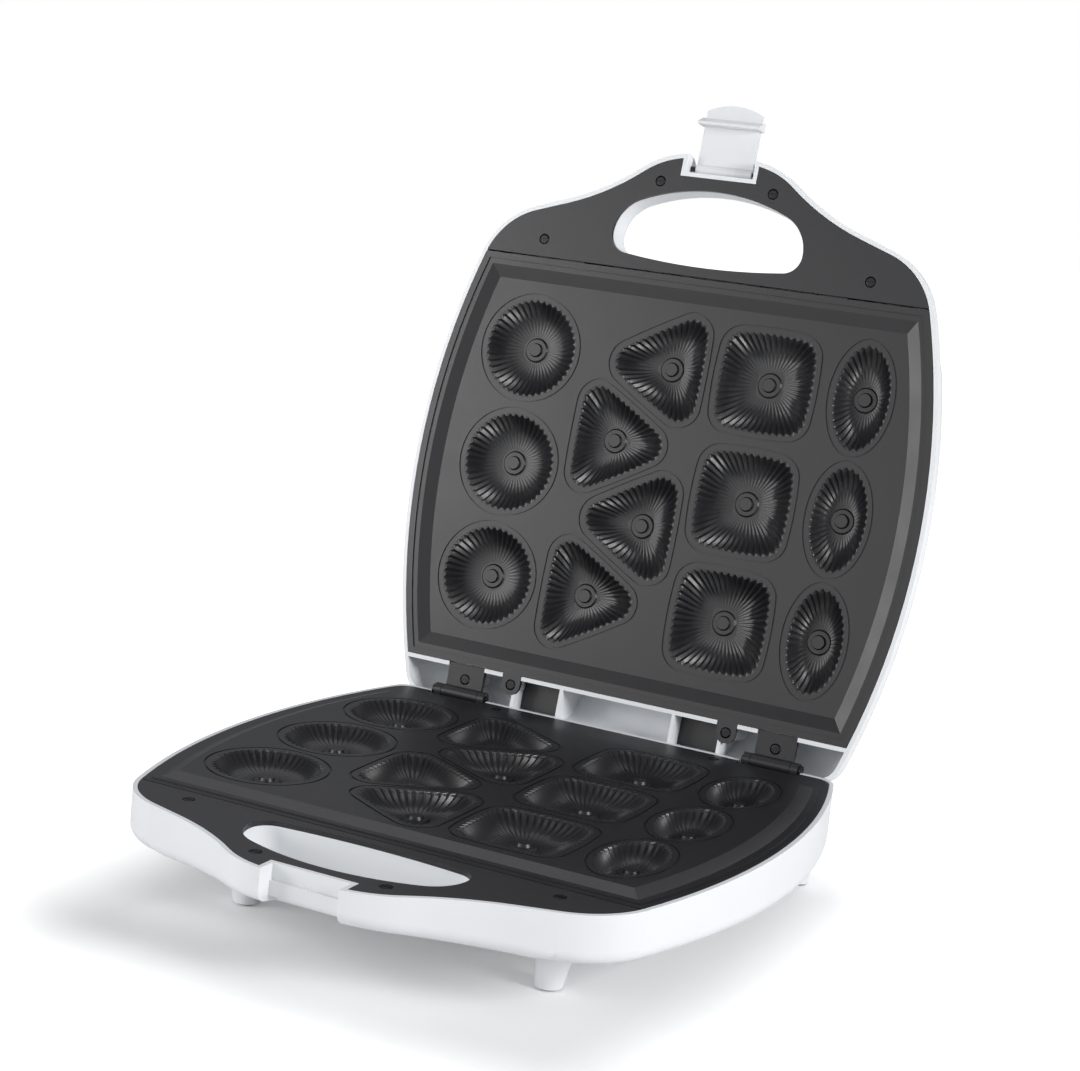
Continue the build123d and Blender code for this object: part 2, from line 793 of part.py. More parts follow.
def dome(grow, drop):
    """The upper housing as a full block: a domed body and a flatter grip."""
    rear_y = lid_rear_y - shell_wall + grow
    front = lid_dome_front_y + shell_wall - grow
    body_face = lens_face(grow) & band(front, rear_y)
    body = slab(body_face, lid_z, lid_z + lid_height - drop)
    front_uprights = body.edges().filter_by(Axis.Z).filter_by(lambda e: e.center().Y < widest_y)
    body = fillet(front_uprights, corner_radius + grow)
    rear_uprights = body.edges().filter_by(Axis.Z).filter_by(lambda e: e.center().Y > rear_y - overrun)
    body = fillet(rear_uprights, lid_rear_radius - shell_wall + grow)
    body = fillet(body.faces().sort_by(Axis.Z)[-1].edges(), lid_edge_radius - drop)
    grip_face = outline(grow, rear_y) & band(front_y - overrun - shell_wall, lid_grip_start_y)
    grip = slab(grip_face, lid_z, lid_z + lid_grip_height - drop)
    grip_top = grip.faces().sort_by(Axis.Z)[-1]
    rim = [e for e in grip_top.edges() if e.center().Y < lid_grip_start_y - overrun]
    grip = fillet(rim, lid_grip_edge_radius - drop)
    return body + grip


def make_upper_housing():
    """The upper housing, closed, with its rim at the parting plane."""
    outer = dome(shell_wall, 0)
    shell = outer - dome(0, shell_wall)
    high = lid_z + lid_height + overrun
    panel_back = lid_z + panel_thickness
    flange_back = lid_z + plate_thickness
    extras = [slab(hole_face(shell_wall), panel_back, high)]
    notch_x = notch_half_width + shell_wall
    tip_y = front_y - 2 * shell_wall
    extras.append(block((-notch_x, tip_y, lid_z), (notch_x, notch_back_y + shell_wall, high)))
    for x, y in panel_screw_places():
        extras.append(rod(x, y, panel_back, high, boss_radius))
    wall_low = cross_wall_y - shell_wall
    reach = half_width - lid_rear_radius
    extras.append(block((-reach, wall_low, lid_z), (reach, cross_wall_y, high)))
    for s in (-1, 1):
        extras.append(rod(s * lug_x, lug_y, flange_back, high, boss_radius))
        tongue_back = flange_back + tongue_thickness
        extras.append(rod(s * tongue_x, seam_y - boss_radius, tongue_back, high, boss_radius))
        extras.append(rod(s * hinge_x, arm_screw_y, arm_lift + arm_thickness, high, boss_radius))
        for x in (rib_inner_x, rib_outer_x):
            low = (s * x - rib_wall / 2, cross_wall_y, lid_z)
            extras.append(block(low, (s * x + rib_wall / 2, lid_rear_y, high)))
    core = dome(shell_wall / 2, shell_wall / 2)
    shell = shell + [extra & core for extra in extras]
    shell = shell - slab(hole_face(0), lid_z - overrun, high)
    notch_low = (-notch_half_width, front_y - half_width, lid_z - overrun)
    shell = shell - block(notch_low, (notch_half_width, notch_back_y, high))
    for x, y in panel_screw_places():
        ceiling = lid_z + screw_head_height + screw_length + seat_gap
        shell = shell - rod(x, y, lid_z, ceiling, screw_radius + running_gap)
    for s in (-1, 1):
        ceiling = lid_z + screw_length + overrun
        shell = shell - rod(s * lug_x, lug_y, lid_z, ceiling, screw_radius + running_gap)
        shell = shell - rod(s * hinge_x, arm_screw_y, lid_z, ceiling + arm_lift, screw_radius + running_gap)
        lug_clear = lug_radius + edge_gap
        shell = shell - rod(s * lug_x, lug_y, lid_z - overrun, flange_back, lug_clear)
        low = (s * lug_x - lug_clear, wall_low - overrun, lid_z - overrun)
        shell = shell - block(low, (s * lug_x + lug_clear, cross_wall_y + overrun, flange_back))
    window_top = lid_z + lid_window_height
    window_front = lid_rear_y - 2 * shell_wall
    shell = shell - hinge_window(lid_z - overrun, window_top, window_front, lid_rear_y + overrun)
    arm_top = arm_lift + arm_thickness + edge_gap
    for s in (-1, 1):
        half = barrel_length / 2 + edge_gap
        low = (s * hinge_x - half, wall_low - overrun, lid_z - overrun)
        shell = shell - block(low, (s * hinge_x + half, cross_wall_y + overrun, arm_top))
    pin_end = notch_x + overrun
    shell = shell - cross_rod(-pin_end, pin_end, pivot_y, pivot_z, latch_pin_radius + running_gap)
    for s in (-1, 1):
        shell = shell - rod(s * lamp_x, lamp_y, lid_z, high, lens_radius + seat_gap)
    return shell


def make_pocket_covers():
    """Dark plates that close the lid's side pockets, between their ribs."""
    low_z = lid_z + pocket_cover_depth
    half = (rib_outer_x - rib_inner_x - rib_wall) / 2 - seat_gap
    room = dome(-pocket_cover_gap, shell_wall + pocket_cover_gap)
    covers = []
    for s in (-1, 1):
        middle = s * (rib_inner_x + rib_outer_x) / 2
        low = (middle - half, cross_wall_y + seat_gap, low_z)
        high = (middle + half, lid_rear_y, low_z + pocket_cover_thickness)
        lug_room = rod(s * lug_x, lug_y, low_z, high[2], boss_radius + pocket_cover_gap)
        covers.append((block(low, high) & room) - lug_room)
    return covers


# Hinges
def make_hinge_bracket(s):
    """A fixed bracket: a foot on two bosses and two ears that hold the pin."""
    half = barrel_length / 2 + ear_gap + ear_thickness
    foot_top = base_z - bracket_depth
    foot = block(
        (s * hinge_x - half, bracket_front_y, foot_top - bracket_thickness),
        (s * hinge_x + half, -running_gap, foot_top))
    outline_points = Polyline(
        (-barrel_radius, 0), (-barrel_radius, -barrel_radius), (bracket_back_y(), foot_top),
        (-running_gap, foot_top), (barrel_radius, 0), close=True)
    side = make_face(outline_points) + Circle(barrel_radius)
    bracket = foot
    for low_x in (s * hinge_x - half, s * hinge_x + half - ear_thickness):
        ear = Pos(low_x, 0, 0) * extrude(Plane.YZ * side, ear_thickness)
        bracket = bracket + ear
    reach = half + overrun
    bore_radius = hinge_pin_radius + running_gap
    bracket = bracket - cross_rod(s * hinge_x - reach, s * hinge_x + reach, 0, 0, bore_radius)
    low = foot_top - bracket_thickness - overrun
    for x in bracket_screw_xs(s):
        bracket = bracket - rod(x, bracket_screw_y, low, foot_top + overrun, screw_radius + seat_gap)
    return bracket


def make_bracket_screws():
    seat = base_z - bracket_depth
    places = [x for s in (-1, 1) for x in bracket_screw_xs(s)]
    return [screw(x, bracket_screw_y, seat, True, screw_length) for x in places]


def make_hinge_pin(s):
    half = barrel_length / 2 + ear_gap + ear_thickness
    outer = s * (hinge_x + half)
    inner = s * (hinge_x - half - pin_overhang)
    head_seat = outer + s * running_gap
    head_end = head_seat + s * pin_head_length
    pin = cross_rod(min(inner, head_seat), max(inner, head_seat), 0, 0, hinge_pin_radius)
    return pin + cross_rod(min(head_seat, head_end), max(head_seat, head_end), 0, 0, pin_head_radius)


def make_hinge_arm(s):
    """The moving strap: a barrel on the pin and an arm screwed into the lid."""
    half = barrel_length / 2
    arm = cross_rod(s * hinge_x - half, s * hinge_x + half, 0, 0, barrel_radius)
    low = (s * hinge_x - half, -arm_reach, arm_lift)
    arm = arm + block(low, (s * hinge_x + half, 0, arm_lift + arm_thickness))
    reach = half + overrun
    bore_radius = hinge_pin_radius + running_gap
    arm = arm - cross_rod(s * hinge_x - reach, s * hinge_x + reach, 0, 0, bore_radius)
    seat_z = arm_lift + screw_head_height
    arm = arm - rod(s * hinge_x, arm_screw_y, arm_lift - overrun, seat_z, screw_head_radius + edge_gap)
    top = arm_lift + arm_thickness + overrun
    return arm - rod(s * hinge_x, arm_screw_y, arm_lift, top, screw_radius + seat_gap)


def make_arm_screws():
    seat_z = arm_lift + screw_head_height
    return [screw(s * hinge_x, arm_screw_y, seat_z, False, screw_length) for s in (-1, 1)]


# Latch
def hook_reach():
    """How far the hook stands out from the latch's pivot line."""
    return hook_drop - latch_plate_thickness / 2 - running_gap


def make_latch():
    """The clip, standing straight out of the closed lid's front edge."""
    plate_low = pivot_z - latch_plate_thickness / 2 + running_gap
    plate_high = plate_low + latch_plate_thickness
    tip_y = pivot_y - latch_reach
    face = Pos(0, (pivot_y + tip_y) / 2) * Rectangle(2 * latch_half_width, latch_reach)
    face = face & Pos(0, tip_y + latch_tab_radius) * Circle(latch_tab_radius)
    top = Pos(0, pivot_y - hook_start / 2) * Rectangle(2 * latch_half_width, hook_start)
    plate = slab(face + top, plate_low, plate_high)
    barrel = cross_rod(-latch_half_width, latch_half_width, pivot_y, pivot_z, latch_barrel_radius)
    hook_back = pivot_y - hook_start
    hook_front = hook_back - hook_length
    hook_low = pivot_z - hook_reach()
    hook_flat = hook_back - hook_length * hook_flat_share
    side = make_face(Polyline(
        (hook_back, plate_high), (hook_back, hook_low), (hook_flat, hook_low),
        (hook_front, plate_low), (hook_front, plate_high), close=True))
    hook = Pos(-hook_half_width, 0, 0) * extrude(Plane.YZ * side, 2 * hook_half_width)
    latch = plate + barrel + hook
    bore = cross_rod(-far, far, pivot_y, pivot_z, latch_pin_radius + running_gap)
    return latch - bore


def make_latch_pin():
    reach = notch_half_width + shell_wall
    return cross_rod(-reach, reach, pivot_y, pivot_z, latch_pin_radius)


# Supply side
def make_gland():
    """A rubber grommet in the rear wall, with the bore that the supply cord passes."""
    outer_y = base_rear_y + gland_flange_thickness
    inner_y = base_rear_y - gland_length
    groove_y = base_rear_y - shell_wall
    turn = Rot(90, 0, 0)
    flange = Pos(gland_x, (base_rear_y + seat_gap + outer_y) / 2, gland_z) * turn * Cylinder(
        gland_flange_radius, gland_flange_thickness - seat_gap)
    neck = Pos(gland_x, (outer_y + inner_y) / 2, gland_z) * turn * Cylinder(gland_radius, outer_y - inner_y)
    bore = Pos(gland_x, groove_y, gland_z) * turn * Cylinder(cord_bore_radius, 4 * gland_length)
    return flange + neck - bore


def clamp_screw_places():
    return [(gland_x + s * clamp_screw_x, clamp_y) for s in (-1, 1)]


def clamp_top():
    return gland_z + cord_bore_radius + clamp_thickness


def make_cord_clamp():
    """A bar over the cord's place, screwed down on two bosses."""
    low = (gland_x - clamp_half_width, clamp_y - clamp_depth / 2, gland_z)
    bar = block(low, (gland_x + clamp_half_width, clamp_y + clamp_depth / 2, clamp_top()))
    groove = Pos(gland_x, clamp_y, gland_z) * Rot(90, 0, 0) * Cylinder(cord_bore_radius, 2 * clamp_depth)
    bar = bar - groove
    for x, y in clamp_screw_places():
        bar = bar - rod(x, y, gland_z - overrun, clamp_top() + overrun, screw_radius + seat_gap)
    return bar


def make_clamp_screws():
    return [screw(x, y, clamp_top(), True, screw_length) for x, y in clamp_screw_places()]


def make_terminal_block():
    low = block_floor() + seat_gap
    body = block(
        (block_x - block_length / 2, block_y - block_depth / 2, low),
        (block_x + block_length / 2, block_y + block_depth / 2, low + block_height))
    for k in (-1, 0, 1):
        y = block_y + k * block_hole_pitch
        ends = (block_x - block_length, block_x + block_length)
        body = body - cross_rod(*ends, y, lead_level(), block_hole_radius)
    return body


def lead_level():
    return block_floor() + seat_gap + block_height / 2


def make_heater_lead(s):
    """A lead from one end of the heater down to the terminal block."""
    start_z = land_z - cup_depth - cup_wall - seat_gap - element_radius
    y = block_y + block_hole_pitch
    route = [
        (s * element_end_x, element_end_y + seat_gap, start_z),
        (s * element_end_x, y, start_z),
        (s * element_end_x, y, lead_level()),
        (block_x + s * block_length / 2, y, lead_level()),
    ]
    path = FilletPolyline(*route, radius=lead_bend_radius)
    start = Plane(origin=path @ 0, z_dir=path % 0)
    return sweep(start * Circle(lead_radius), path=path)


# Lamps
def make_lens(s):
    inner_z = lid_z + lid_height - shell_wall
    top_z = lid_z + lid_height + lens_rise
    x = s * lamp_x
    flange = rod(x, lamp_y, inner_z - lens_flange_height, inner_z - seat_gap, lens_flange_radius)
    stem = rod(x, lamp_y, inner_z - lens_flange_height, top_z, lens_radius)
    stem = fillet(stem.edges().sort_by(Axis.Z)[-1], lens_rise * lens_round_share)
    low = inner_z - lens_flange_height - overrun
    hollow = rod(x, lamp_y, low, inner_z + seat_gap, neon_radius + edge_gap)
    return flange + stem - hollow


def make_neons():
    top = lid_z + lid_height - shell_wall
    return [rod(s * lamp_x, lamp_y, top - neon_length, top, neon_radius) for s in (-1, 1)]


# Placing and writing
down_in_base = Pos(0, 0, land_z)
panel_in_base = Pos(0, 0, base_z)
lid_land_z = lid_z + lid_recess
up_in_lid = Pos(0, 0, lid_land_z)
panel_in_lid = Pos(0, 0, lid_z)


def to_lid(shape, place):
    """Turn a piece drawn with its back below so that its back is above, as in the closed lid."""
    return place * mirror(shape, about=Plane.XY)


def group(shapes):
    return Compound(children=[s.solid() if len(s.solids()) == 1 else s for s in shapes])


plate_screws = make_plate_screws(-plate_rise)
lid_plate_screws = make_plate_screws(lid_recess)
panel_screws = make_panel_screws()
reflector_screws = make_reflector_screws()

base_parts = {
    "lower_housing": make_lower_housing(),
    "lower_front_panel": panel_in_base * make_panel(),
    "lower_plate": down_in_base * make_lower_plate(),
    "lower_heating_element": down_in_base * make_element(),
    "lower_heat_reflector": down_in_base * make_reflector(),
    "lower_thermostat": down_in_base * make_thermostat(),
    "thermal_fuse": down_in_base * make_fuse(),
    "lower_reflector_screws": group([down_in_base * s for s in reflector_screws]),
    "lower_panel_screws": group([panel_in_base * s for s in panel_screws]),
    "lower_plate_screws": group([down_in_base * s for s in plate_screws]),
    "foot_pads": group(make_foot_pads()),
    "left_hinge_bracket": make_hinge_bracket(-1),
    "right_hinge_bracket": make_hinge_bracket(1),
    "hinge_bracket_screws": group(make_bracket_screws()),
    "left_hinge_pin": make_hinge_pin(-1),
    "right_hinge_pin": make_hinge_pin(1),
    "cord_gland": make_gland(),
    "cord_clamp": make_cord_clamp(),
    "cord_clamp_screws": group(make_clamp_screws()),
    "terminal_block": make_terminal_block(),
    "heater_leads": group([make_heater_lead(s) for s in (-1, 1)]),
}
lid_parts = {
    "upper_housing": make_upper_housing(),
    "upper_front_panel": to_lid(make_panel(), panel_in_lid),
    "upper_plate": to_lid(make_upper_plate(), up_in_lid),
    "upper_heating_element": to_lid(make_element(), up_in_lid),
    "upper_heat_reflector": to_lid(make_reflector(), up_in_lid),
    "upper_thermostat": to_lid(make_thermostat(), up_in_lid),
    "upper_reflector_screws": group([to_lid(s, up_in_lid) for s in reflector_screws]),
    "upper_panel_screws": group([to_lid(s, panel_in_lid) for s in panel_screws]),
    "upper_plate_screws": group([to_lid(s, up_in_lid) for s in lid_plate_screws]),
    "pocket_covers": group(make_pocket_covers()),
    "left_hinge_arm": make_hinge_arm(-1),
    "right_hinge_arm": make_hinge_arm(1),
    "hinge_arm_screws": group(make_arm_screws()),
    "power_lamp_lens": make_lens(-1),
    "ready_lamp_lens": make_lens(1),
    "neon_lamps": group(make_neons()),
    "latch_pin": make_latch_pin(),
    "latch": make_latch(),
}

raise_base = Pos(0, 0, hinge_height)
open_lid = Pos(0, 0, hinge_height) * Rot(-lid_open_angle, 0, 0)
placed = {name: raise_base * shape for name, shape in base_parts.items()}
placed.update({name: open_lid * shape for name, shape in lid_parts.items()})

boxes = [shape.bounding_box() for shape in placed.values()]
middle_y = (min(b.min.Y for b in boxes) + max(b.max.Y for b in boxes)) / 2
centre = Pos(0, -middle_y, 0)
os.makedirs("parts", exist_ok=True)
for name, shape in placed.items():
    export_step(centre * shape, f"parts/{name}.step")

tilt = radians(lid_open_angle)
latch_pivot_y = pivot_y * cos(tilt) + pivot_z * sin(tilt) - middle_y
latch_pivot_z = pivot_z * cos(tilt) - pivot_y * sin(tilt) + hinge_height
print("hinge line: y", round(-middle_y, 3), "z", hinge_height)
print("latch pivot: y", round(latch_pivot_y, 3), "z", round(latch_pivot_z, 3))
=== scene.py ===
"""Finishes, fluted cups, stage and camera for the open electric cookie maker."""

import json
import math

import bpy
from bpy.props import FloatProperty, FloatVectorProperty, PointerProperty
from mathutils import Matrix, Vector


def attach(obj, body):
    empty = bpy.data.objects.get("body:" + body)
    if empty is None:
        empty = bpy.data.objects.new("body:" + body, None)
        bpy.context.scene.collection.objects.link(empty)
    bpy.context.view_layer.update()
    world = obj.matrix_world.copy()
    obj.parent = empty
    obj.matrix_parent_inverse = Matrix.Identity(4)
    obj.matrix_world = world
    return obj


bl_info = {
    "name": "Cookie Maker",
    "version": (1, 0, 0),
    "blender": (4, 5, 0),
    "location": "3D View > Sidebar > Cookie Maker",
    "description": "Dresses the cookie maker's solids with finishes, fluted cups and a studio",
    "category": "Object",
}

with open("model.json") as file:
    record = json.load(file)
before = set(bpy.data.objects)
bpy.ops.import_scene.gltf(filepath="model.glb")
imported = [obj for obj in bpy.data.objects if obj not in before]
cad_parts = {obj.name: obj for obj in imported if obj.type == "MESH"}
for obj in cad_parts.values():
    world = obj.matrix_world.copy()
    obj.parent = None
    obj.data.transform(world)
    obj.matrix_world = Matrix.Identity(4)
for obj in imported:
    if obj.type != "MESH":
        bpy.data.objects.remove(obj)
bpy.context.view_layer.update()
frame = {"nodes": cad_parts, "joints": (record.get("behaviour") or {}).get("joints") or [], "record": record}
joints = {joint["name"]: joint for joint in frame["joints"]}
hinge = Vector(joints["lid_hinge"]["pos_m"])
latch_pivot = Vector(joints["latch_pivot"]["pos_m"])
open_angle = math.radians(joints["lid_hinge"]["range_deg"][1])

MM = 0.001
BASE_LAND = 2.8 * MM
LID_LAND = 3.8 * MM
CUP_CENTRE_Y = -143.8 * MM
WHOLE_TURN = 2 * math.pi

# Where the cups' inner walls run: share of the mouth's size, and depth in millimetres
GROOVE_WALL = [
    (1.0, -0.03), (0.985, 0.4), (0.93, 2.1), (0.86, 3.9), (0.78, 5.3),
    (0.69, 6.45), (0.59, 7.4), (0.49, 8.0), (0.39, 8.3), (0.29, 8.45)]
RIDGE_WALL = [
    (1.0, -0.03), (0.945, -0.03), (0.895, 1.0), (0.83, 2.8), (0.755, 4.4),
    (0.67, 5.8), (0.58, 6.95), (0.485, 7.75), (0.385, 8.2), (0.29, 8.45)]
POINTS_PER_FLUTE = 4
OUTLINE_STEPS = 1440
LINER_WALL = 0.35 * MM
SMOOTH_ANGLE = math.radians(38)

# How far the middle of a cup's side stands out, and the round of its corners
SQUARE_BULGE = 2.2 * MM
SQUARE_CORNER = 14 * MM
TRIANGLE_BULGE = 1.6 * MM
TRIANGLE_CORNER = 13.7 * MM

# Columns of cups, in millimetres: place along X and spacing along Y
CUP_COLUMNS = {"round": (-100.8, 70.1), "square": (52.1, 70.5), "oval": (111.1, 70.5)}
TRIANGLE_COLUMNS = (-10.1, -37.7)
TRIANGLE_SPACING = 47.3

# Painted shade on the floor under the object, in metres: its centre, its half sizes and its fading edge.
# Inside this box the floor's glow for the camera is turned down, so the floor is painted darker there than
# the lamps alone make it
SHADOW_CENTRE = (0, -0.05, 0)
SHADOW_HALF_SIZE = (0.12, 0.14, 1.0)
SHADOW_EDGE = 0.13
SHADOW_GLOW = 0.12

# Soft lights, all aimed at one point: name, place in metres, the two sizes and the power in watts
LIGHT_TARGET = (0, 0, 0.15)
LIGHTS = [
    ("right_softbox", (1.85, -0.33, 0.83), (0.6, 0.6), 29),
    ("left_softbox", (-1.48, -1.24, 0.67), (0.9, 0.9), 17),
    ("front_left_panel", (-0.60, -1.84, 0.64), (1.8, 1.2), 7),
    ("overhead_softbox", (-0.7, 0.65, 1.65), (1.4, 1.4), 5),
    ("rear_fill", (0.2, 1.6, 1.2), (1.2, 0.8), 7),
]

# The photograph's camera
CAMERA_PLACE = (0.5372, -1.11745, 0.43509)
CAMERA_AZIMUTH = math.radians(25.6066)
CAMERA_HEIGHT = math.radians(11.0344)
CAMERA_ROLL = math.radians(5.6136)
CAMERA_LENS = 79.45


class CookieMakerSizes(bpy.types.PropertyGroup):
    """Lengths of the parts that are shaped here."""

    cup_lip: FloatProperty(
        name="Cup lip", description="Flat band between a cup's ring groove and its mouth",
        default=3.2 * MM, unit="LENGTH")
    round_radius: FloatProperty(
        name="Round cup radius", description="Radius of a round cup's ring groove",
        default=33 * MM, unit="LENGTH")
    oval_width: FloatProperty(
        name="Oval cup half width", description="Half the width of an oval cup's ring groove",
        default=20 * MM, unit="LENGTH")
    oval_length: FloatProperty(
        name="Oval cup half length", description="Half the length of an oval cup's ring groove",
        default=34 * MM, unit="LENGTH")
    square_half: FloatProperty(
        name="Square cup half side", description="From a square cup's centre to the middle of a side",
        default=32.7 * MM, unit="LENGTH")
    triangle_side: FloatProperty(
        name="Triangular cup side", description="Side of a triangular cup before its corners are rounded",
        default=84.7 * MM, unit="LENGTH")
    flute_pitch: FloatProperty(
        name="Flute pitch", description="Length along a cup's mouth from one groove to the next",
        default=4.4 * MM, unit="LENGTH")


class CookieMakerColours(bpy.types.PropertyGroup):
    """Colours of the finishes."""

    housing_white: FloatVectorProperty(
        name="Housing", description="Colour of the moulded white housings",
        default=(0.80, 0.815, 0.835), subtype="COLOR", size=3)
    trim_grey: FloatVectorProperty(
        name="Trim panel", description="Colour of the dark panels round the grips",
        default=(0.020, 0.020, 0.022), subtype="COLOR", size=3)
    plate_grey: FloatVectorProperty(
        name="Plate coating", description="Colour of the non-stick coating",
        default=(0.014, 0.014, 0.016), subtype="COLOR", size=3)
    hinge_black: FloatVectorProperty(
        name="Hinge", description="Colour of the black hinge parts",
        default=(0.018, 0.018, 0.020), subtype="COLOR", size=3)


class Value:
    """A number that changes over a surface, held as a node's socket, so that sums can be written out."""

    def __init__(self, tree, socket):
        self.tree = tree
        self.socket = socket

    def _sum(self, operation, first, second):
        node = self.tree.nodes.new("ShaderNodeMath")
        node.operation = operation
        for slot, item in zip(node.inputs, (first, second)):
            if isinstance(item, Value):
                self.tree.links.new(item.socket, slot)
            else:
                slot.default_value = item
        return Value(self.tree, node.outputs[0])

    def __add__(self, other):
        return self._sum("ADD", self, other)

    def __radd__(self, other):
        return self._sum("ADD", other, self)

    def __sub__(self, other):
        return self._sum("SUBTRACT", self, other)

    def __rsub__(self, other):
        return self._sum("SUBTRACT", other, self)

    def __mul__(self, other):
        return self._sum("MULTIPLY", self, other)

    def __rmul__(self, other):
        return self._sum("MULTIPLY", other, self)


class Finish:
    """A material being made: its tree, its surface shader and a way to add nodes."""

    def __init__(self, name):
        self.material = bpy.data.materials.new(name)
        self.material.use_nodes = True
        self.tree = self.material.node_tree
        self.surface = next(n for n in self.tree.nodes if n.type == "BSDF_PRINCIPLED")
        self.place = self.node("ShaderNodeTexCoord").outputs["Object"]

    def node(self, kind, settings=None, **inputs):
        """Any node: settings first, then values or links for its sockets.

        A socket goes by its name, with _ for a space, or by i and its number.
        """
        node = self.tree.nodes.new(kind)
        for key, value in (settings or {}).items():
            setattr(node, key, value)
        for key, value in inputs.items():
            numbered = key[0] == "i" and key[1:].isdigit()
            self.feed(value, node.inputs[int(key[1:]) if numbered else key.replace("_", " ")])
        return node

    def feed(self, value, slot):
        """Link or set one socket."""
        if isinstance(value, Value):
            self.tree.links.new(value.socket, slot)
        elif isinstance(value, bpy.types.NodeSocket):
            self.tree.links.new(value, slot)
        else:
            slot.default_value = value

    def fixed(self, **values):
        """Constants on the shader's own sockets."""
        for key, value in values.items():
            self.surface.inputs[key.replace("_", " ")].default_value = value

    def noise(self, size, detail=3.0, rough=0.5):
        """Cloudy variation with features of a given size in metres."""
        node = self.node(
            "ShaderNodeTexNoise", Vector=self.place, Scale=1 / size, Detail=detail, Roughness=rough)
        return Value(self.tree, node.outputs["Fac"])

    def grains(self, size, settings=None):
        """Distance to the nearest of many points, for speckle and dimples."""
        node = self.node("ShaderNodeTexVoronoi", settings, Vector=self.place, Scale=1 / size)
        return Value(self.tree, node.outputs["Distance"])

    def shade(self, low, high, amount):
        """A colour between two others."""
        mix = self.node("ShaderNodeMix", {"data_type": "RGBA"})
        self.feed(amount, mix.inputs[0])
        mix.inputs[6].default_value = (*low, 1)
        mix.inputs[7].default_value = (*high, 1)
        return mix.outputs[2]

    def relief(self, height, depth, strength=1.0):
        """Bumps whose height of 1 stands depth metres proud."""
        bump = self.node("ShaderNodeBump", Height=height, Distance=depth, Strength=strength)
        self.feed(bump.outputs["Normal"], self.surface.inputs["Normal"])

    def colour(self, value):
        self.feed(value, self.surface.inputs["Base Color"])

    def rough(self, value):
        self.feed(value, self.surface.inputs["Roughness"])


def darker(colour, share):
    """The colour with each of its parts times a share."""
    return tuple(part * share for part in colour)


def moulded(name, colour, roughness, grain, depth):
    """Moulded plastic: slight clouding of its colour and gloss, and a fine spark-eroded grain."""
    finish = Finish(name)
    cloud = finish.noise(40 * MM)
    finish.colour(finish.shade(darker(colour, 0.975), darker(colour, 1.02), cloud))
    finish.rough(roughness + 0.06 * (finish.noise(9 * MM) - 0.5))
    finish.relief(finish.noise(grain, 2.0), depth)
    finish.fixed(IOR=1.49)
    return finish.material


def coated(name, colour, roughness):
    """Sprayed non-stick coating: tiny orange-peel relief, a few pale flecks and a slight sheen."""
    finish = Finish(name)
    cloud = finish.noise(55 * MM, 4.0)
    fleck = finish.grains(1.1 * MM)
    specks = (0.16 - fleck) * 5
    tone = finish.node("ShaderNodeClamp", Value=specks + 0.35 * cloud, Min=0.0, Max=1.0).outputs[0]
    finish.colour(finish.shade(darker(colour, 0.9), darker(colour, 1.5), tone))
    finish.rough(roughness + 0.10 * (finish.noise(18 * MM) - 0.5))
    finish.relief(finish.noise(0.7 * MM, 2.0), 0.02 * MM)
    finish.fixed(IOR=1.55)
    return finish.material


def metal(name, colour, roughness, streak):
    """Bare metal with drawing marks along X and some dulling."""
    finish = Finish(name)
    finish.fixed(Metallic=1.0)
    squeeze = (1 / streak, 12 / streak, 12 / streak)
    stretch = finish.node("ShaderNodeMapping", Vector=finish.place, Scale=squeeze)
    marks = finish.node("ShaderNodeTexNoise", Vector=stretch.outputs[0], Scale=1.0, Detail=3.0)
    lines = Value(finish.tree, marks.outputs["Fac"])
    finish.colour(finish.shade(darker(colour, 0.85), darker(colour, 1.1), lines))
    finish.rough(roughness + 0.15 * (lines - 0.5))
    finish.relief(lines, 0.01 * MM)
    return finish.material


def pressed_sheet(name, colour):
    """Bright rolled sheet with faint dents and patchy gloss."""
    finish = Finish(name)
    finish.fixed(Metallic=1.0)
    dents = finish.noise(22 * MM)
    finish.colour(finish.shade(darker(colour, 0.9), colour, dents))
    finish.rough(0.28 + 0.12 * (finish.noise(3 * MM) - 0.5))
    finish.relief(dents, 0.15 * MM)
    return finish.material


def rubber(name, colour):
    """Matt rubber with a dusty bloom."""
    finish = Finish(name)
    bloom = finish.noise(5 * MM, 5.0)
    finish.colour(finish.shade(darker(colour, 0.85), darker(colour, 1.15), bloom))
    finish.rough(0.72 + 0.12 * (bloom - 0.5))
    finish.relief(finish.noise(0.5 * MM), 0.03 * MM)
    return finish.material


def braided(name, colour):
    """Woven glass sleeving on the leads."""
    finish = Finish(name)
    weave = finish.grains(0.6 * MM)
    finish.colour(finish.shade(darker(colour, 0.7), colour, weave))
    finish.rough(0.6 + 0.2 * (weave - 0.5))
    finish.relief(weave, 0.08 * MM)
    return finish.material


def lens(name, colour):
    """Translucent tinted lens over a lamp."""
    finish = Finish(name)
    finish.colour(finish.shade(darker(colour, 0.9), darker(colour, 1.1), finish.noise(4 * MM)))
    finish.rough(0.16 + 0.04 * (finish.noise(1.5 * MM) - 0.5))
    finish.fixed(Transmission_Weight=0.45, IOR=1.49)
    finish.relief(finish.grains(1.0 * MM), 0.02 * MM)
    return finish.material


def lamp_glass(name):
    """Clear warm glass of the glow lamps."""
    finish = Finish(name)
    finish.colour(finish.shade((0.8, 0.62, 0.5), (0.95, 0.85, 0.75), finish.noise(3 * MM)))
    finish.rough(0.06 + 0.03 * (finish.noise(2 * MM) - 0.5))
    finish.fixed(Transmission_Weight=0.8, IOR=1.5)
    return finish.material


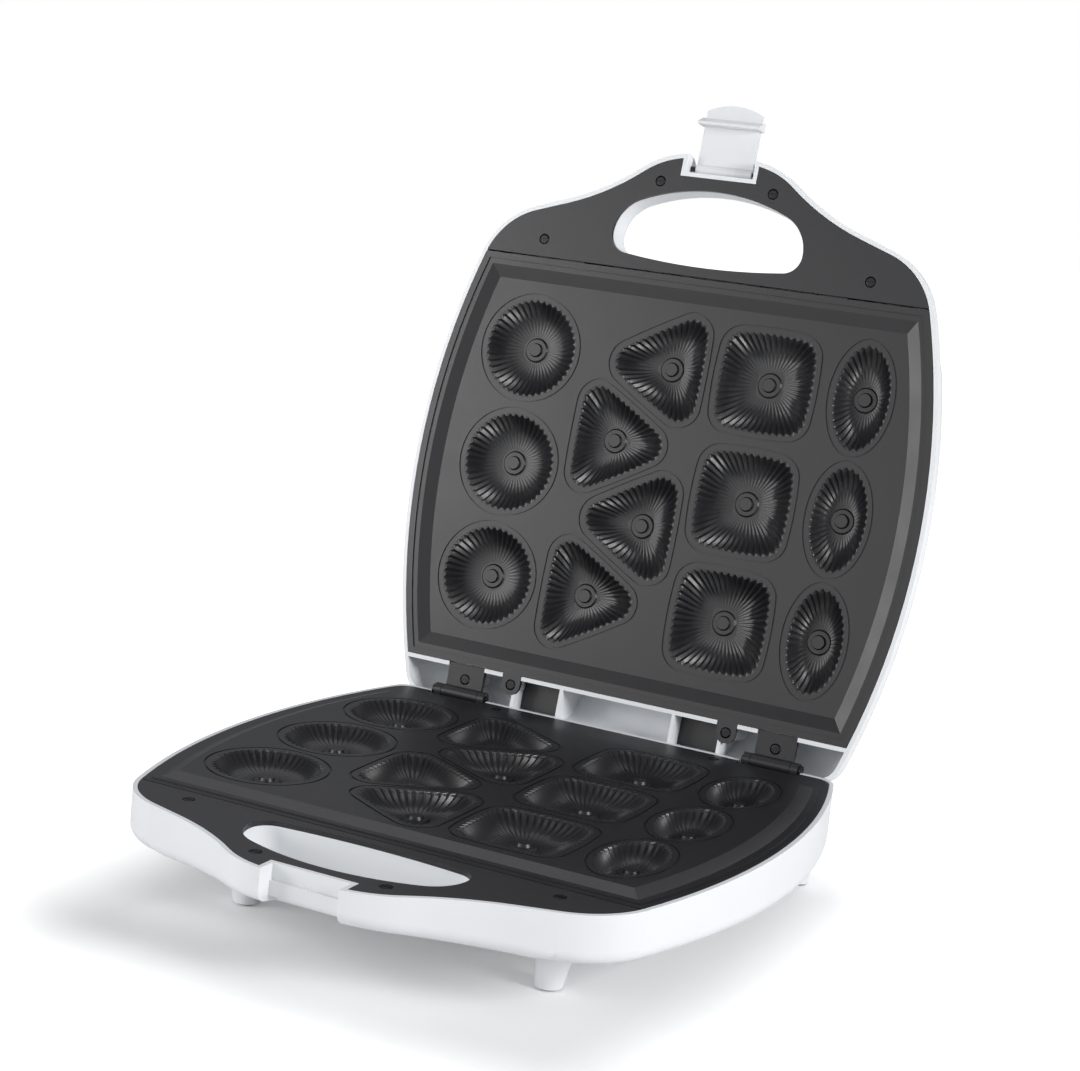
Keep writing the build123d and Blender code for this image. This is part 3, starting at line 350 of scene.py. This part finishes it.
def make_finishes(colours):
    """Every finish, by the name of the slot that it goes to."""
    white = tuple(colours.housing_white)
    return {
        "white_plastic": moulded("white_moulding", white, 0.30, 0.35 * MM, 0.006 * MM),
        "latch_plastic": moulded("latch_moulding", darker(white, 0.97), 0.26, 0.35 * MM, 0.004 * MM),
        "panel_plastic": moulded("dark_trim", tuple(colours.trim_grey), 0.40, 0.3 * MM, 0.012 * MM),
        "nonstick_plate": coated("nonstick_coating", tuple(colours.plate_grey), 0.38),
        "heater_steel": metal("heater_sheath", (0.42, 0.41, 0.40), 0.38, 6 * MM),
        "reflector_sheet": pressed_sheet("reflector_sheet_metal", (0.80, 0.80, 0.81)),
        "thermostat_metal": metal("thermostat_can", (0.62, 0.62, 0.62), 0.30, 4 * MM),
        "fuse_sleeve": braided("fuse_sleeving", (0.80, 0.78, 0.70)),
        "screw_steel": metal("blackened_screw", (0.035, 0.035, 0.038), 0.40, 2 * MM),
        "pin_steel": metal("blackened_pin", (0.045, 0.045, 0.048), 0.34, 3 * MM),
        "hinge_black": moulded("black_moulding", tuple(colours.hinge_black), 0.42, 0.3 * MM, 0.012 * MM),
        "foot_rubber": rubber("foot_pad_rubber", (0.25, 0.25, 0.26)),
        "gland_rubber": rubber("cord_gland_rubber", (0.78, 0.79, 0.80)),
        "terminal_plastic": moulded("terminal_moulding", (0.82, 0.81, 0.77), 0.45, 0.3 * MM, 0.01 * MM),
        "lead_sleeve": braided("lead_sleeving", (0.74, 0.72, 0.65)),
        "red_lens": lens("red_lamp_lens", (0.65, 0.035, 0.025)),
        "green_lens": lens("green_lamp_lens", (0.04, 0.45, 0.10)),
        "neon_glass": lamp_glass("glow_lamp_glass"),
    }


finishes = {}


def clear_selection():
    """Object mode with nothing selected."""
    if bpy.context.object and bpy.context.object.mode != "OBJECT":
        bpy.ops.object.mode_set(mode="OBJECT")
    bpy.ops.object.select_all(action="DESELECT")


def settle(piece):
    """Put the piece's place into its mesh."""
    clear_selection()
    piece.select_set(True)
    bpy.context.view_layer.objects.active = piece
    bpy.ops.object.transform_apply(location=True, rotation=True, scale=True)


def even_outline(radius_at, pitch):
    """Points spaced evenly along a closed outline, a whole number of flutes of about one pitch."""
    ring = []
    for i in range(OUTLINE_STEPS + 1):
        a = WHOLE_TURN * i / OUTLINE_STEPS
        ring.append(Vector((math.cos(a), math.sin(a))) * radius_at(a))
    lengths = [0.0]
    for first, second in zip(ring, ring[1:]):
        lengths.append(lengths[-1] + (second - first).length)
    count = round(lengths[-1] / pitch) * POINTS_PER_FLUTE
    points = []
    k = 0
    for i in range(count):
        goal = lengths[-1] * i / count
        while lengths[k + 1] < goal:
            k += 1
        share = (goal - lengths[k]) / (lengths[k + 1] - lengths[k])
        points.append(ring[k].lerp(ring[k + 1], share))
    return points


def convex_radius(arcs):
    """Radius for each angle of the shape that lies inside every one of the (centre, radius) arcs."""
    def radius_at(angle):
        way = Vector((math.cos(angle), math.sin(angle)))
        reach = None
        for centre, radius in arcs:
            along = way.dot(centre)
            inside = along * along - centre.length_squared + radius * radius
            if inside < 0:
                continue
            far = along + math.sqrt(inside)
            reach = far if reach is None else min(reach, far)
        return reach
    return radius_at


def rounded_radius(sides, corners, corner_radius, half_turn):
    """Radius for each angle: big arcs for the sides, cut by a round at each corner."""
    side_at = convex_radius(sides)

    def radius_at(angle):
        reach = side_at(angle)
        way = Vector((math.cos(angle), math.sin(angle)))
        for centre in corners:
            along = way.dot(centre)
            across = abs(way.cross(centre))
            if across < corner_radius * 0.999 and along > 0:
                point = way * reach
                outward = centre.normalized()
                if (point - centre).dot(outward) > corner_radius * math.cos(half_turn):
                    reach = min(reach, along + math.sqrt(corner_radius ** 2 - across ** 2))
        return reach
    return radius_at


def round_mouth(sizes):
    """Radius for each angle of a round cup's mouth."""
    radius = sizes.round_radius - sizes.cup_lip
    return lambda angle: radius


def oval_mouth(sizes):
    """Radius for each angle of an oval cup's mouth."""
    a = sizes.oval_width - sizes.cup_lip
    b = sizes.oval_length - sizes.cup_lip
    return lambda angle: a * b / math.hypot(b * math.cos(angle), a * math.sin(angle))


def square_mouth(sizes):
    """Radius for each angle of a square cup's mouth, with bowed sides and round corners."""
    half = sizes.square_half - sizes.cup_lip
    chord = half - SQUARE_BULGE
    side_radius = (chord ** 2 + SQUARE_BULGE ** 2) / (2 * SQUARE_BULGE)
    centres = [Vector((half - side_radius, 0)), Vector((0, half - side_radius))]
    sides = [(c, side_radius) for c in centres] + [(-c, side_radius) for c in centres]
    corner_radius = SQUARE_CORNER - sizes.cup_lip
    offset = side_radius - corner_radius
    reach = side_radius - half
    place = (-reach + math.sqrt(2 * offset ** 2 - reach ** 2)) / 2
    corners = [Vector((u * place, v * place)) for u in (-1, 1) for v in (-1, 1)]
    half_turn = math.pi / 4 - math.atan2(place, place + reach)
    return rounded_radius(sides, corners, corner_radius, half_turn)


def triangle_mouth(sizes):
    """Radius for each angle of a triangular cup's mouth, with bowed sides and round corners."""
    tip = sizes.triangle_side / math.sqrt(3) - 2 * sizes.cup_lip
    side_radius = (0.75 * tip ** 2 + TRIANGLE_BULGE ** 2) / (2 * TRIANGLE_BULGE)
    inner = tip / 2 + TRIANGLE_BULGE - side_radius
    ways = [Vector((math.cos(math.radians(d)), math.sin(math.radians(d)))) for d in range(0, 360, 60)]
    sides = [(way * inner, side_radius) for way in ways[1::2]]
    corner_radius = TRIANGLE_CORNER - sizes.cup_lip
    centre = sides[0][0]
    place = centre.x + math.sqrt((side_radius - corner_radius) ** 2 - centre.y ** 2)
    corners = [way * place for way in ways[0::2]]
    half_turn = math.atan2(-centre.y, place - centre.x)
    return rounded_radius(sides, corners, corner_radius, half_turn)


def model_liner(name, radius_at, pitch):
    """One cup's fluted inner wall, with its mouth at the origin and facing up."""
    clear_selection()
    outline = even_outline(radius_at, pitch)
    bpy.ops.mesh.primitive_circle_add(vertices=len(outline), radius=radius_at(0), fill_type="NOTHING")
    liner = bpy.context.object
    liner.name = name
    for vertex, point in zip(liner.data.vertices, outline):
        vertex.co.xy = point
    bpy.ops.object.mode_set(mode="EDIT")
    bpy.ops.mesh.select_all(action="SELECT")
    rings = [1.0]
    for share, _ in GROOVE_WALL[1:]:
        bpy.ops.mesh.extrude_edges_move()
        ratio = share / rings[-1]
        bpy.ops.transform.resize(value=(ratio, ratio, 1), center_override=(0, 0, 0))
        rings.append(share)
    bpy.ops.object.mode_set(mode="OBJECT")
    flute(liner, outline, rings)
    bpy.ops.object.mode_set(mode="EDIT")
    bpy.ops.mesh.select_all(action="SELECT")
    bpy.ops.mesh.normals_make_consistent(inside=False)
    bpy.ops.object.mode_set(mode="OBJECT")
    if sum(face.normal.z for face in liner.data.polygons) < 0:
        liner.data.flip_normals()
    wall = liner.modifiers.new("wall", "SOLIDIFY")
    wall.thickness = LINER_WALL
    wall.offset = -1
    bpy.ops.object.modifier_apply(modifier="wall")
    bpy.ops.object.shade_smooth_by_angle(angle=SMOOTH_ANGLE)
    return liner


def flute(liner, outline, rings):
    """Raise the ridges between the grooves, ring by ring."""
    angles = [math.atan2(point.y, point.x) % WHOLE_TURN for point in outline]
    for vertex in liner.data.vertices:
        angle = math.atan2(vertex.co.y, vertex.co.x) % WHOLE_TURN
        k = min(range(len(angles)), key=lambda i: abs((angles[i] - angle + math.pi) % WHOLE_TURN - math.pi))
        share = vertex.co.xy.length / outline[k].length
        ring = min(range(len(rings)), key=lambda i: abs(rings[i] - share))
        ridge = 0.5 - 0.5 * math.cos(WHOLE_TURN * k / POINTS_PER_FLUTE)
        low_share, low_depth = GROOVE_WALL[ring]
        high_share, high_depth = RIDGE_WALL[ring]
        share = low_share + ridge * (high_share - low_share)
        depth = low_depth + ridge * (high_depth - low_depth)
        vertex.co = (*(outline[k] * share), -depth * MM)


def cup_places():
    """Every cup's kind, its centre and its turn about Z."""
    places = []
    for row in (-1, 0, 1):
        for kind, (x, spacing) in CUP_COLUMNS.items():
            places.append((kind, x, spacing * row, 0))
    for k in range(4):
        turn = math.pi if k % 2 == 0 else 0
        places.append(("triangle", TRIANGLE_COLUMNS[k % 2], TRIANGLE_SPACING * (k - 1.5), turn))
    return places


def in_base():
    """From a cup's own place to the base: its mouth lies on the base plate's land."""
    return Matrix.Translation(hinge + Vector((0, CUP_CENTRE_Y, BASE_LAND)))


def in_lid():
    """The same for the lid as it stands open, with the mouth facing down on a closed lid."""
    facing_down = Matrix.Rotation(math.pi, 4, "X")
    turn = Matrix.Rotation(-open_angle, 4, "X")
    return Matrix.Translation(hinge) @ turn @ Matrix.Translation((0, CUP_CENTRE_Y, LID_LAND)) @ facing_down


class MAKER_OT_finishes(bpy.types.Operator):
    """Give every solid the finish of its slot"""

    bl_idname = "maker.finishes"
    bl_label = "Finishes"

    def execute(self, context):
        finishes.update(make_finishes(context.scene.maker_colours))
        slots = {part["node"]: part["material_slot"] for part in frame["record"]["subparts"]}
        for name, node in frame["nodes"].items():
            node.data.materials.clear()
            node.data.materials.append(finishes[slots[name]])
        return {"FINISHED"}


class MAKER_OT_cup_flutes(bpy.types.Operator):
    """Line the cups of both plates with their fluted walls"""

    bl_idname = "maker.cup_flutes"
    bl_label = "Cup flutes"

    def execute(self, context):
        sizes = context.scene.maker_sizes
        models = {
            "round": model_liner("round_model", round_mouth(sizes), sizes.flute_pitch),
            "square": model_liner("square_model", square_mouth(sizes), sizes.flute_pitch),
            "triangle": model_liner("triangle_model", triangle_mouth(sizes), sizes.flute_pitch),
            "oval": model_liner("oval_model", oval_mouth(sizes), sizes.flute_pitch),
        }
        for half, body, ground in (("lower", "base", in_base()), ("upper", "lid", in_lid())):
            counts = {}
            for kind, x, y, turn in cup_places():
                counts[kind] = counts.get(kind, 0) + 1
                liner = models[kind].copy()
                liner.data = models[kind].data.copy()
                liner.name = f"{half}_{kind}_cup_flutes_{counts[kind]}"
                context.collection.objects.link(liner)
                side = y if half == "lower" else -y
                here = Matrix.Translation((x * MM, side * MM, 0)) @ Matrix.Rotation(turn, 4, "Z")
                liner.matrix_world = ground @ here
                settle(liner)
                liner.data.materials.clear()
                liner.data.materials.append(finishes["nonstick_plate"])
                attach(liner, body)
        for model in models.values():
            bpy.data.objects.remove(model)
        return {"FINISHED"}


class MAKER_OT_stage(bpy.types.Operator):
    """Floor, soft lights, white surroundings and the camera"""

    bl_idname = "maker.stage"
    bl_label = "Stage"

    def execute(self, context):
        add_floor()
        for name, place, size, power in LIGHTS:
            add_light(name, place, size, power)
        add_surroundings(context.scene)
        add_camera(context.scene)
        return {"FINISHED"}


def add_floor():
    """A floor that glows white for the camera away from the object, and keeps its shadow. Near the object
    its glow is turned down, which paints shade there over the lamps' own shadow.
    """
    clear_selection()
    bpy.ops.mesh.primitive_plane_add(size=12, location=(0, 0, -0.0002))
    floor = bpy.context.object
    floor.name = "studio_floor"
    finish = Finish("studio_floor_white")
    finish.fixed(Base_Color=(0.82, 0.82, 0.82, 1), Roughness=0.9, Specular_IOR_Level=0.1)
    finish.fixed(Emission_Color=(1, 1, 1, 1))
    seen = Value(finish.tree, finish.node("ShaderNodeLightPath").outputs["Is Camera Ray"])
    steps = (
        ("SUBTRACT", SHADOW_CENTRE), ("ABSOLUTE", None),
        ("SUBTRACT", SHADOW_HALF_SIZE), ("MAXIMUM", (0, 0, 0)))
    outside = finish.place
    for operation, other in steps:
        sockets = {"i0": outside} if other is None else {"i0": outside, "i1": other}
        outside = finish.node("ShaderNodeVectorMath", {"operation": operation}, **sockets).outputs["Vector"]
    away = finish.node("ShaderNodeVectorMath", {"operation": "LENGTH"}, i0=outside).outputs["Value"]
    # Painted shade: the glow for the camera is low inside the box round the object and rises to white across
    # its fading edge
    glow = finish.node(
        "ShaderNodeMapRange", {"interpolation_type": "SMOOTHSTEP"},
        Value=away, From_Min=0.0, From_Max=SHADOW_EDGE, To_Min=SHADOW_GLOW, To_Max=1.0)
    strength = Value(finish.tree, glow.outputs["Result"]) * seen
    finish.feed(strength, finish.surface.inputs["Emission Strength"])
    floor.data.materials.append(finish.material)


def aim(thing, target):
    """Turn a light so that it faces a point."""
    thing.rotation_euler = (Vector(target) - thing.location).to_track_quat("-Z", "Y").to_euler()


def add_light(name, place, size, power):
    """A soft rectangular light."""
    data = bpy.data.lights.new(name, "AREA")
    data.shape = "RECTANGLE"
    data.size, data.size_y = size
    data.energy = power
    lamp = bpy.data.objects.new(name, data)
    bpy.context.scene.collection.objects.link(lamp)
    lamp.location = place
    aim(lamp, LIGHT_TARGET)


def add_surroundings(scene):
    """White behind the object for the camera, and soft even light for the rest."""
    world = bpy.data.worlds.new("white_studio")
    scene.world = world
    world.use_nodes = True
    tree = world.node_tree
    tree.nodes.clear()
    path = tree.nodes.new("ShaderNodeLightPath")
    soft = tree.nodes.new("ShaderNodeBackground")
    soft.inputs["Color"].default_value = (0.95, 0.97, 1.0, 1)
    soft.inputs["Strength"].default_value = 0.24
    white = tree.nodes.new("ShaderNodeBackground")
    white.inputs["Color"].default_value = (1, 1, 1, 1)
    white.inputs["Strength"].default_value = 1.0
    mix = tree.nodes.new("ShaderNodeMixShader")
    out = tree.nodes.new("ShaderNodeOutputWorld")
    tree.links.new(path.outputs["Is Camera Ray"], mix.inputs[0])
    tree.links.new(soft.outputs[0], mix.inputs[1])
    tree.links.new(white.outputs[0], mix.inputs[2])
    tree.links.new(mix.outputs[0], out.inputs["Surface"])
    scene.view_settings.view_transform = "Standard"


def add_camera(scene):
    """The photograph's view: its place, its direction and its slight roll."""
    level = Vector((math.sin(CAMERA_AZIMUTH), -math.cos(CAMERA_AZIMUTH), 0))
    back = level * math.cos(CAMERA_HEIGHT) + Vector((0, 0, math.sin(CAMERA_HEIGHT)))
    right = Vector((math.cos(CAMERA_AZIMUTH), math.sin(CAMERA_AZIMUTH), 0))
    up = back.cross(right)
    rolled_right = math.cos(CAMERA_ROLL) * right + math.sin(CAMERA_ROLL) * up
    rolled_up = -math.sin(CAMERA_ROLL) * right + math.cos(CAMERA_ROLL) * up
    data = bpy.data.cameras.new("photo_camera")
    data.lens = CAMERA_LENS
    data.sensor_width = 36
    camera = bpy.data.objects.new("photo_camera", data)
    scene.collection.objects.link(camera)
    turn = Matrix((rolled_right, rolled_up, back)).transposed().to_4x4()
    camera.matrix_world = Matrix.Translation(CAMERA_PLACE) @ turn
    scene.camera = camera


class MAKER_PT_panel(bpy.types.Panel):
    """The cookie maker's pieces"""

    bl_idname = "MAKER_PT_panel"
    bl_label = "Cookie Maker"
    bl_space_type = "VIEW_3D"
    bl_region_type = "UI"
    bl_category = "Cookie Maker"

    def draw(self, context):
        for operator in OPERATORS:
            self.layout.operator(operator.bl_idname)


OPERATORS = (MAKER_OT_finishes, MAKER_OT_cup_flutes, MAKER_OT_stage)
CLASSES = (CookieMakerSizes, CookieMakerColours, *OPERATORS, MAKER_PT_panel)


def register():
    for item in CLASSES:
        bpy.utils.register_class(item)
    bpy.types.Scene.maker_sizes = PointerProperty(type=CookieMakerSizes)
    bpy.types.Scene.maker_colours = PointerProperty(type=CookieMakerColours)


def unregister():
    del bpy.types.Scene.maker_sizes
    del bpy.types.Scene.maker_colours
    for item in reversed(CLASSES):
        bpy.utils.unregister_class(item)


def main():
    register()
    bpy.ops.maker.finishes()
    bpy.ops.maker.cup_flutes()
    bpy.ops.maker.stage()


if __name__ == "__main__":
    main()
